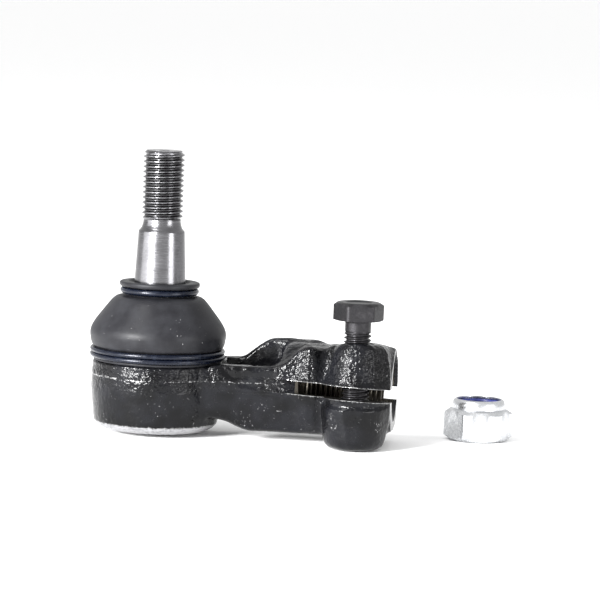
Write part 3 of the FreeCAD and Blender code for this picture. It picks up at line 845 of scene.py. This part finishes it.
def boot_rubber():
    """Satin black rubber with a faint grain and a few pale specks."""
    s = Shader("boot_rubber")
    fine = s.noise(0.35, detail=3, rough=0.6)
    patch = s.noise(6, detail=4, seed=0.6)
    specks = s.ramp(s.noise(0.6, detail=2, seed=1.1), 0.735, 0.775)
    colour = s.mix(s.ramp(patch, 0.35, 0.7), (0.008, 0.008, 0.0095), (0.0135, 0.0138, 0.016))
    s.set(Base_Color=s.mix(s.times(specks, 0.8), colour, (0.3, 0.3, 0.3)),
          Roughness=s.ramp(patch, 0.3, 0.7, 0.36, 0.5), IOR=1.5)
    s.set(Specular_IOR_Level=0.14)
    s.set(Normal=s.bump(fine, 0.12, 0.05))
    return s.material


def blued_wire():
    """Dark blue spring wire, a little worn."""
    s = Shader("blued_wire")
    wear = s.noise(1.5, detail=4, rough=0.6)
    s.set(Base_Color=s.mix(s.ramp(wear, 0.45, 0.75), (0.0024, 0.0037, 0.0088), (0.0068, 0.0095, 0.0175)),
          Metallic=0.3, Roughness=s.ramp(wear, 0.3, 0.7, 0.2, 0.34), Specular_IOR_Level=0.3,
          Coat_Weight=0.03, Coat_Roughness=0.1)
    s.set(Normal=s.bump(wear, 0.05, 0.03))
    return s.material


def phosphate_steel():
    """The clamp bolt's dark grey coating, grainy and rubbed lighter in patches."""
    s = Shader("phosphate_steel")
    grain = s.noise(0.3, detail=4, rough=0.6)
    wear = s.ramp(s.noise(2.5, detail=5, rough=0.7, seed=0.8), 0.5, 0.75)
    skin = s.mix(wear, (0.027, 0.026, 0.028), (0.049, 0.047, 0.05))
    s.set(Base_Color=s.mix(s.ramp(grain, 0.4, 0.6, 0.0, 0.45), skin, (0.008, 0.008, 0.009)), Metallic=0.85,
          Roughness=s.ramp(grain, 0.3, 0.7, 0.34, 0.5))
    s.set(Normal=s.bump(grain, 0.45, 0.08))
    return s.material


def zinc_plate():
    """The lock nut's bright plating."""
    s = Shader("zinc_plate")
    grain = s.noise(0.6, detail=4)
    s.set(Base_Color=s.mix(s.ramp(grain, 0.35, 0.7), (0.6, 0.61, 0.62), (0.47, 0.48, 0.5)),
          Metallic=1.0, Roughness=s.ramp(grain, 0.3, 0.7, 0.24, 0.36))
    s.set(Normal=s.bump(grain, 0.1, 0.05))
    return s.material


def blue_nylon():
    """The ring in the lock nut."""
    s = Shader("blue_nylon")
    haze = s.noise(1.2, detail=3)
    s.set(Base_Color=s.mix(s.ramp(haze, 0.35, 0.7), (0.008, 0.014, 0.13), (0.014, 0.025, 0.2)),
          Roughness=s.ramp(haze, 0.3, 0.7, 0.3, 0.42), IOR=1.53, Subsurface_Weight=0.1,
          Subsurface_Scale=0.002)
    s.set(Normal=s.bump(haze, 0.06, 0.05))
    return s.material


def moulded_seat():
    """The pale plastic of the two bearing shells."""
    s = Shader("moulded_seat")
    haze = s.noise(1.5, detail=3)
    s.set(Base_Color=s.mix(haze, (0.72, 0.7, 0.62), (0.8, 0.78, 0.7)),
          Roughness=s.ramp(haze, 0.3, 0.7, 0.4, 0.55))
    s.set(Normal=s.bump(haze, 0.08, 0.05))
    return s.material


PAINT = forging_paint()
LIP = scraped_steel()
CUT_STEEL = machined_steel("cut_steel", (0.11, 0.1, 0.085), 0.25, 0.4, axis="X")
SAWN = machined_steel("sawn_face", (0.022, 0.021, 0.02), 0.35, 0.55, grooves_mm=0.3, axis="X")
STUD_STEEL = machined_steel("turned_steel", (0.152, 0.151, 0.158), 0.16, 0.3, shaded_roots=True)
CAP_STEEL = machined_steel("pressed_steel", (0.4, 0.4, 0.41), 0.35, 0.5)
SPRING_STEEL = machined_steel("spring_steel", (0.3, 0.31, 0.33), 0.3, 0.4)
RUBBER = boot_rubber()
WIRE = blued_wire()
BOLT_STEEL = phosphate_steel()
ZINC = zinc_plate()
NYLON = blue_nylon()
SEAT = moulded_seat()


def finish_piece(piece, body, node, slot, *materials):
    """Gives a piece its materials, its body and the CAD node that it stands for."""
    piece.data.materials.clear()
    for m in materials:
        piece.data.materials.append(m)
    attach(piece, body)
    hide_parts(node)
    return piece


# The order of the housing's materials.
ON_PAINT, ON_LIP, ON_BORED, ON_SAWN = range(4)


def machined_faces(piece):
    """Gives the housing's lip and its cut faces their own materials."""
    mesh = piece.data
    count = len(mesh.polygons)
    centre, normal = np.zeros(count * 3), np.zeros(count * 3)
    mesh.polygons.foreach_get("center", centre)
    mesh.polygons.foreach_get("normal", normal)
    centre, normal = centre.reshape(-1, 3) / MM, normal.reshape(-1, 3)
    x, y, z = centre.T
    index = np.full(count, ON_PAINT)
    r = np.hypot(x, y)
    lip_r, lip_z = 18.4, -10.45
    cavity_r, cavity_low, cavity_high = 15.0, -12.3, 12.2
    close, slack, past_point = 0.02, 0.05, 0.4
    index[(r < lip_r) & (z < lip_z)] = ON_LIP
    index[(r < cavity_r) & (z < cavity_high) & (z > cavity_low)] = ON_BORED
    around_rod = np.hypot(y, z - PARTING_Z)
    in_bore = (x > BORE_START - DRILL_POINT - past_point) & (x < END_X - close)
    index[in_bore & (around_rod < COUNTERBORE_R + slack)] = ON_BORED
    off_saw = np.abs(above_saw(centre))
    arm_start, level = 30, 0.9
    sawn = (np.abs(off_saw - SLOT_HALF) < close) & (x > arm_start) & (np.abs(normal[:, 2]) > level)
    index[sawn] = ON_SAWN
    # the curved end of the cut, which the saw's rim leaves, is as dark as the paint
    rim_close, near_wall_y = 0.2, -8
    from_rim = np.abs(np.hypot(x - SAW_X, y - SAW_Y) - SAW_R)
    index[(off_saw < SLOT_HALF) & (y < near_wall_y) & (from_rim < rim_close)] = ON_PAINT
    mesh.polygons.foreach_set("material_index", index)
    mesh.update()


def ridge(distance, width):
    """1 on a line, falling to 0 beside it."""
    return np.exp(-(distance / width) ** 2)


def wear_map(piece):
    """Writes where paint is rubbed: the slot's, mouth's and lip's edges, the flash line and knocks."""
    mesh = piece.data
    points = np.zeros(len(mesh.vertices) * 3)
    mesh.vertices.foreach_get("co", points)
    points = points.reshape(-1, 3) / MM
    x, y, z = points.T
    near_side = y < 0
    # where each mark starts, is full or ends along X, in millimetres
    slot_start, slot_full, flash_end, sway_end, lip_end, clamp_start = 33, 42, 43, 18, 20, 50
    # the lip's lower edge, the near side of the clamp and the rim of its mouth
    lip_z, clamp_y, mouth_r = -10.3, -9, 9.0

    slot = ridge(np.abs(above_saw(points)) - SLOT_HALF, width=0.22) * (x > slot_start) * (y < clamp_y)
    fade_length, faintest = 6, 0.35
    slot *= np.clip((x - (slot_full - fade_length)) / fade_length, faintest, 1)
    mouth = 0.14 * ridge(x - END_X, width=0.4) * (np.hypot(y, z - PARTING_Z) > mouth_r)
    sway = 0.55 * value_noise(points, cell=9.0, seed=77) * (x < sway_end)
    sway += 0.15 * value_noise(points, cell=2.5, seed=78)
    flash = np.where(x < 0, 0.85, 0.6) * ridge(z - FLASH_Z - sway, width=0.28)
    flash *= (x < flash_end) * near_side
    lip = 0.8 * ridge(z - lip_z, width=0.35) * (x < lip_end)
    # knocks gather low down, and most of all on the clamp
    none_above, all_below = 2, -2
    low_down = np.clip((none_above - z) / (none_above - all_below), 0, 1)
    knocks = np.clip(value_noise(points, cell=3.2, seed=79) - 0.25, 0, 0.34) * low_down * near_side
    knocks *= np.where(x > clamp_start, 1.0, 0.55)
    wear = mesh.attributes.new("wear", "FLOAT", "POINT")
    wear.data.foreach_set("value", np.maximum.reduce([slot, mouth, flash, lip, knocks]))


housing = finish_piece(make_housing(), "housing", "housing", "forging", PAINT, LIP, CUT_STEEL, SAWN)
machined_faces(housing)
wear_map(housing)
finish_piece(make_cap(), "housing", "end_cap", "cap", CAP_STEEL)
finish_piece(make_stud(), "stud", "ball_stud", "stud", STUD_STEEL)
boot = make_boot()
boot.data.materials.append(RUBBER)
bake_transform(boot)
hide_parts("boot")
finish_piece(make_lower_ring(), "boot", "lower_ring", "ring", WIRE)
finish_piece(make_upper_ring(), "boot_neck", "upper_ring", "ring", WIRE)
finish_piece(make_bolt(), "clamp_bolt", "clamp_bolt", "bolt", BOLT_STEEL)
finish_piece(make_nut(), "lock_nut", "lock_nut", "nut", ZINC)
finish_piece(make_insert(), "lock_nut", "nylon_insert", "insert", NYLON)

for name, material in (("upper_seat", SEAT), ("lower_seat", SEAT), ("preload_spring", SPRING_STEEL)):
    node = frame["nodes"][name]
    node.data.materials.clear()
    node.data.materials.append(material)


# ---- floor, light and camera ------------------------------------------------------------------
def make_floor():
    """A plain pale floor just under the part, in metres."""
    mesh = bpy.data.meshes.new("floor")
    half, gap = 30.0, 0.0002
    z = FLOOR_Z * MM - gap
    corners = [(-half, -half, z), (half, -half, z), (half, half, z), (-half, half, z)]
    mesh.from_pydata(corners, [], [(0, 1, 2, 3)])
    floor = bpy.data.objects.new("floor", mesh)
    bpy.context.scene.collection.objects.link(floor)
    s = Shader("pale_floor")
    s.set(Base_Color=(0.97, 0.97, 0.97, 1), Roughness=0.7)
    s.set(Specular_IOR_Level=0.2)
    mesh.materials.append(s.material)


LIT_POINT = (0.03, 0.0, 0.02)


def softbox(name, place, width, height, power):
    """An area light that faces the middle of the part."""
    light = bpy.data.lights.new(name, "AREA")
    light.shape = "RECTANGLE"
    light.size = width
    light.size_y = height
    light.energy = power
    lamp = bpy.data.objects.new(name, light)
    bpy.context.scene.collection.objects.link(lamp)
    lamp.location = place
    lamp.rotation_euler = (Vector(LIT_POINT) - Vector(place)).to_track_quat("-Z", "Y").to_euler()


def make_camera():
    """A long lens that stands a little above the arm and a little round towards its open end."""
    lift, turn, roll = math.radians(5.9), math.radians(6.0), math.radians(2.25)
    distance, view_width = 0.95, 0.17715
    aim_right, aim_up = 0.0424, 0.0252
    sensor = 36
    ahead = Vector((-math.sin(turn) * math.cos(lift), math.cos(turn) * math.cos(lift), -math.sin(lift)))
    level = Vector((math.cos(turn), math.sin(turn), 0))
    up = level.cross(ahead)
    right = level * math.cos(roll) + up * math.sin(roll)
    top = up * math.cos(roll) - level * math.sin(roll)
    target = right * aim_right + top * aim_up
    data = bpy.data.cameras.new("camera")
    data.sensor_width = sensor
    data.lens = sensor * distance / view_width
    data.clip_start = 0.05
    data.clip_end = 100
    camera = bpy.data.objects.new("camera", data)
    turn_matrix = Matrix((right, top, -ahead)).transposed()
    camera.matrix_world = Matrix.Translation(target - ahead * distance) @ turn_matrix.to_4x4()
    bpy.context.scene.collection.objects.link(camera)
    bpy.context.scene.camera = camera


make_floor()
softbox("left_box", (-0.92, -0.42, 0.17), width=0.85, height=0.36, power=3.6)
softbox("key_box", (-0.56, -0.81, 0.3), width=0.3, height=0.28, power=44)
softbox("right_box", (0.8, -0.5, 0.17), width=0.36, height=0.32, power=4)
softbox("top_box", (-0.35, -0.35, 0.8), width=0.26, height=0.26, power=4)
world = bpy.data.worlds.new("studio")
world.use_nodes = True
background = world.node_tree.nodes["Background"]
background.inputs["Color"].default_value = (1, 1, 1, 1)
background.inputs["Strength"].default_value = 1.0
bpy.context.scene.world = world
bpy.context.scene.view_settings.view_transform = "Standard"
make_camera()
